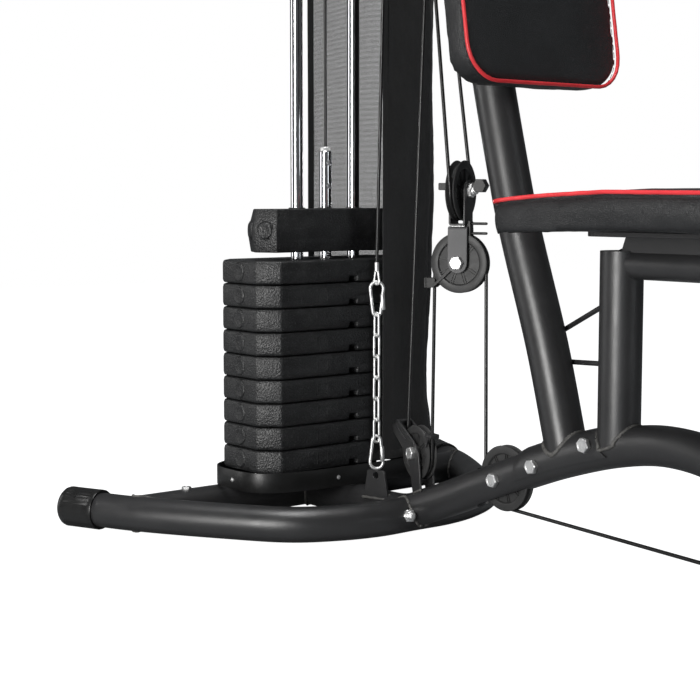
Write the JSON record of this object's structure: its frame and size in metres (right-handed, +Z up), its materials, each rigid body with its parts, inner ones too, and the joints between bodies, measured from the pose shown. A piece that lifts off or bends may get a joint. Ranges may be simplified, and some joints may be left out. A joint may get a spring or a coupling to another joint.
{
  "type": "multi station home gym",
  "caption": "Home gym with a shrouded weight stack, pulleys and cables, a seat and backrest, a leg lever, a press arm and an overhead pull bar.",
  "frame": {"origin": "on the floor under the middle of the machine's box", "axes": "+X is the way the seated user faces, +Y the user's left, +Z up"},
  "size_m": [1.2302, 0.932, 1.9948],
  "materials": {
    "frame": "satin charcoal powder coat",
    "cap": "moulded black plastic, semi gloss",
    "leather": "black synthetic leather with red piping",
    "rod_chrome": "chromed steel",
    "zinc": "bright zinc plate",
    "vinyl": "textured black vinyl skin over a cement filling",
    "cloth": "black knitted cloth and grey mesh",
    "buffer": "matt",
    "nylon": "ribbed black nylon",
    "foam": "closed cell foam skin",
    "cable": "black vinyl coat over a steel wire core"
  },
  "bodies": {
    "root": {"base_main_tube": "frame", "rear_stabilizer_right": "frame", "rear_stabilizer_left": "frame", "stack_cross_tube": "frame", "front_stabilizer": "frame", "main_upright": "frame", "top_boom": "frame", "seat_post": "frame", "seat_brace": "frame", "backrest_bracket": "frame", "stack_base_plate": "frame", "shroud_hanger": "frame", "chain_anchor": "frame", "rear_pulley_bracket": "frame", "rear_cap_right": "cap", "rear_cap_left": "cap", "front_cap_right": "cap", "front_cap_left": "cap", "shroud_band": "cap", "seat_pad": "leather", "backrest_pad": "leather", "guide_rod_right": "rod_chrome", "guide_rod_left": "rod_chrome", "tension_chain": "zinc", "shroud": "cloth", "stack_buffer": "buffer", "knee_roller_right": "foam", "knee_roller_left": "foam", "lift_cable": "cable", "lower_cable": "cable"},
    "weight_carriage": {"top_plate": "vinyl", "selector_rod": "rod_chrome", "weight_plate_1": "vinyl", "weight_plate_2": "vinyl", "weight_plate_3": "vinyl", "weight_plate_4": "vinyl", "weight_plate_5": "vinyl", "weight_plate_6": "vinyl", "weight_plate_7": "vinyl", "weight_plate_8": "vinyl", "weight_plate_9": "vinyl"},
    "float_block": {"float_bracket_lower": "frame", "float_bracket_upper": "frame"},
    "float_lower_wheel": {"float_pulley_lower": "nylon"},
    "float_upper_wheel": {"float_pulley_upper": "nylon"},
    "base_rear_wheel": {"base_pulley_rear": "nylon"},
    "base_front_wheel": {"base_pulley_front": "nylon"},
    "base_low_wheel": {"base_pulley_low": "nylon"},
    "top_rear_wheel": {"top_pulley_rear": "nylon"},
    "top_middle_wheel": {"top_pulley_middle": "nylon"},
    "top_front_wheel": {"top_pulley_front": "nylon"},
    "guide_right_wheel": {"guide_pulley_right": "nylon"},
    "guide_left_wheel": {"guide_pulley_left": "nylon"},
    "leg_lever": {"leg_lever": "frame", "ankle_roller_right": "foam", "ankle_roller_left": "foam"},
    "press_arm": {"press_arm": "frame"},
    "press_wheel": {"press_pulley": "nylon"},
    "lat_hook": {"lat_hook": "zinc"},
    "lat_bar": {"lat_bar": "rod_chrome"}
  },
  "joints": [
    {"name": "stack_lift", "type": "slide", "parent": "root", "child": "weight_carriage", "axis": [0, 0, 1], "range_m": [0, 0.3], "deforming": ["lift_cable"]},
    {"name": "lat_pull", "type": "slide", "parent": "root", "child": "lat_hook", "axis": [0, 0, -1], "range_m": [0, 0.3], "deforming": ["lift_cable"]},
    {"name": "lat_swing", "type": "hinge", "parent": "lat_hook", "child": "lat_bar", "pos_m": [0.3537, 0, 1.75], "axis": [0, 1, 0], "range_deg": [-25, 25]},
    {"name": "leg_lever_swing", "type": "hinge", "parent": "root", "child": "leg_lever", "pos_m": [0.5522, 0, 0.395], "axis": [0, -1, 0], "range_deg": [0, 57], "stiffness_Nm_per_rad": 5, "springref_deg": -34.38, "deforming": ["lower_cable"]},
    {"name": "float_travel", "type": "slide", "parent": "root", "child": "float_block", "axis": [0, 0, -1], "range_m": [0, 0.15], "deforming": ["lift_cable", "lower_cable"]},
    {"name": "press_arm_swing", "type": "hinge", "parent": "root", "child": "press_arm", "pos_m": [-0.0878, 0, 1.85], "axis": [0, -1, 0], "range_deg": [0, 35], "deforming": ["lower_cable"]},
    {"name": "float_lower_spin", "type": "hinge", "parent": "float_block", "child": "float_lower_wheel", "pos_m": [-0.1428, 0, 0.399], "axis": [0.4147, -0.91, 0], "continuous": true},
    {"name": "float_upper_spin", "type": "hinge", "parent": "float_block", "child": "float_upper_wheel", "pos_m": [-0.1428, 0, 0.4985], "axis": [0.91, 0.4147, 0], "continuous": true},
    {"name": "base_rear_spin", "type": "hinge", "parent": "root", "child": "base_rear_wheel", "pos_m": [-0.2268, 0, 0.121], "axis": [-0.2079, -0.9781, 0], "continuous": true},
    {"name": "base_front_spin", "type": "hinge", "parent": "root", "child": "base_front_wheel", "pos_m": [-0.0468, 0, 0.1095], "axis": [0, 1, 0], "continuous": true},
    {"name": "base_low_spin", "type": "hinge", "parent": "root", "child": "base_low_wheel", "pos_m": [0.4522, 0, 0.088], "axis": [0, 1, 0], "continuous": true},
    {"name": "top_rear_spin", "type": "hinge", "parent": "root", "child": "top_rear_wheel", "pos_m": [-0.4063, 0, 1.95], "axis": [0, 1, 0], "continuous": true},
    {"name": "top_middle_spin", "type": "hinge", "parent": "root", "child": "top_middle_wheel", "pos_m": [-0.2998, 0, 1.95], "axis": [0, 1, 0], "continuous": true},
    {"name": "top_front_spin", "type": "hinge", "parent": "root", "child": "top_front_wheel", "pos_m": [0.3122, 0, 1.95], "axis": [0, 1, 0], "continuous": true},
    {"name": "guide_right_spin", "type": "hinge", "parent": "root", "child": "guide_right_wheel", "pos_m": [-0.1908, -0.045, 1.5], "axis": [0, 1, 0], "continuous": true},
    {"name": "guide_left_spin", "type": "hinge", "parent": "root", "child": "guide_left_wheel", "pos_m": [-0.1908, 0.045, 1.5], "axis": [0, 1, 0], "continuous": true},
    {"name": "press_wheel_spin", "type": "hinge", "parent": "press_arm", "child": "press_wheel", "pos_m": [0.0522, 0, 1.5415], "axis": [0, 0, 1], "continuous": true}
  ],
  "couplings": [
    {"joint": "lat_pull", "follows": "stack_lift", "ratio": 1},
    {"joint": "float_travel", "follows": "leg_lever_swing", "m_per_rad": 0.15077}
  ]
}
